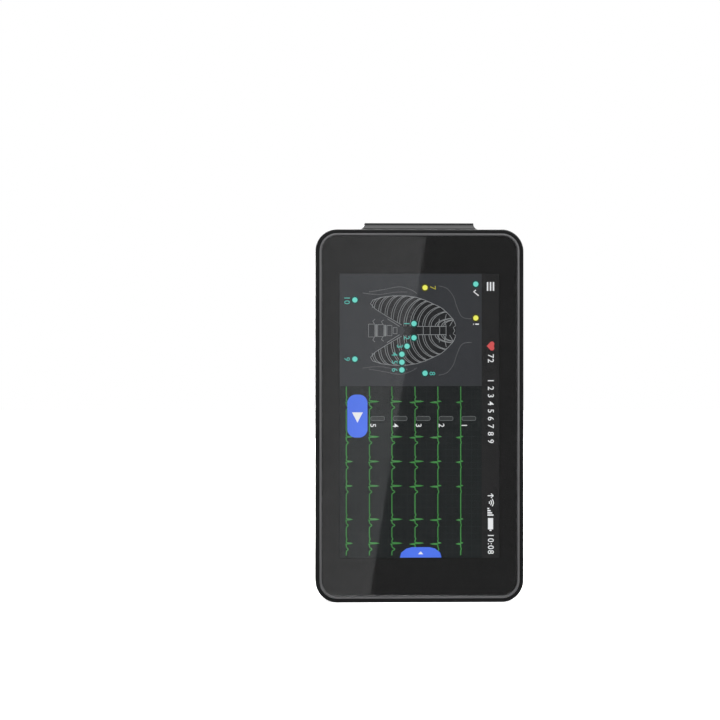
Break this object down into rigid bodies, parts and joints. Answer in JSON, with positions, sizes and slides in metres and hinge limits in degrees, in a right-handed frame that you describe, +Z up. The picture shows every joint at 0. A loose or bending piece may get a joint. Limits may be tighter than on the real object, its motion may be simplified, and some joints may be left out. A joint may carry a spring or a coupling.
{
  "type": "handheld ecg monitor",
  "caption": "Flat handheld ECG monitor with a tall touch screen, side keys that press and rock, a patient-lead socket in its top end and a screwed-on back cover.",
  "frame": {"origin": "centre of the bounding box's footprint, at the bottom end that the monitor stands on", "axes": "+X to the right seen from the screen, +Y from the front glass to the back cover, +Z up to the patient-lead socket"},
  "size_m": [0.081, 0.017, 0.1477],
  "materials": {
    "case_plastic": "fine matte texture",
    "key_plastic": "satin",
    "bezel_metal": "satin grey",
    "cover_glass": "polished, black printed border",
    "clear_bond": "clear adhesive",
    "black_adhesive": "foam tape",
    "display": "lit display panel",
    "ribbon": "polyimide film",
    "circuit_board": "green solder resist",
    "ecg_circuit_board": "blue solder resist",
    "tin_plate": "tinned sheet",
    "screw_steel": "zinc plated",
    "black_screw": "blackened steel",
    "brass": "turned",
    "contact_gold": "gold plated",
    "nickel_shell": "nickel plated",
    "socket_plastic": "moulded",
    "black_plastic": "moulded",
    "battery_wrap": "pouch foil",
    "white_tape": "double-sided tape",
    "red_film": "insulating film",
    "foam": "open foam",
    "grille_cloth": "acoustic mesh",
    "camera_glass": "coated window",
    "camera_gloss": "gloss black",
    "antenna_film": "printed film"
  },
  "bodies": {
    "case": {"housing_frame": "case_plastic", "bezel_ring": "bezel_metal", "front_glass": "cover_glass", "glass_adhesive": "black_adhesive", "optical_bond": "clear_bond", "display_panel": "display", "display_ribbon": "ribbon", "main_board": "circuit_board", "board_shields": "tin_plate", "board_header": "black_plastic", "ecg_board": "ecg_circuit_board", "ecg_shield": "tin_plate", "board_spacers": "brass", "board_screws": "screw_steel", "socket_shell": "nickel_shell", "socket_insert": "socket_plastic", "socket_contacts": "contact_gold", "jack_screws": "nickel_shell", "socket_nuts": "screw_steel", "battery": "battery_wrap", "battery_tape": "white_tape", "battery_lead": "red_film", "link_ribbon": "ribbon", "usb_board": "circuit_board", "usb_shell": "nickel_shell", "usb_tongue": "black_plastic", "usb_board_screws": "screw_steel", "microphone": "contact_gold", "speaker": "black_plastic", "speaker_gasket": "foam", "grille_mesh": "grille_cloth", "camera_module": "black_plastic", "camera_ring": "camera_gloss", "camera_window": "camera_glass", "antenna": "antenna_film", "side_board": "circuit_board", "side_switches": "tin_plate", "rear_cover": "case_plastic", "rear_inserts": "brass", "rear_screws": "black_screw"},
    "power": {"power_key": "key_plastic", "power_plunger": "black_plastic"},
    "volume": {"volume_key": "key_plastic", "volume_plungers": "black_plastic"},
    "function": {"function_key": "key_plastic", "function_plunger": "black_plastic"}
  },
  "joints": [
    {"name": "power_press", "type": "slide", "parent": "case", "child": "power", "axis": [-1, 0, 0], "range_m": [0, 0.0003], "stiffness_N_per_m": 5000},
    {"name": "volume_rock", "type": "hinge", "parent": "case", "child": "volume", "pos_m": [0.03675, -0.0019, 0.0725], "axis": [0, 1, 0], "range_deg": [-1.5, 1.5], "stiffness_Nm_per_rad": 0.8},
    {"name": "function_press", "type": "slide", "parent": "case", "child": "function", "axis": [-1, 0, 0], "range_m": [0, 0.0003], "stiffness_N_per_m": 5000}
  ]
}
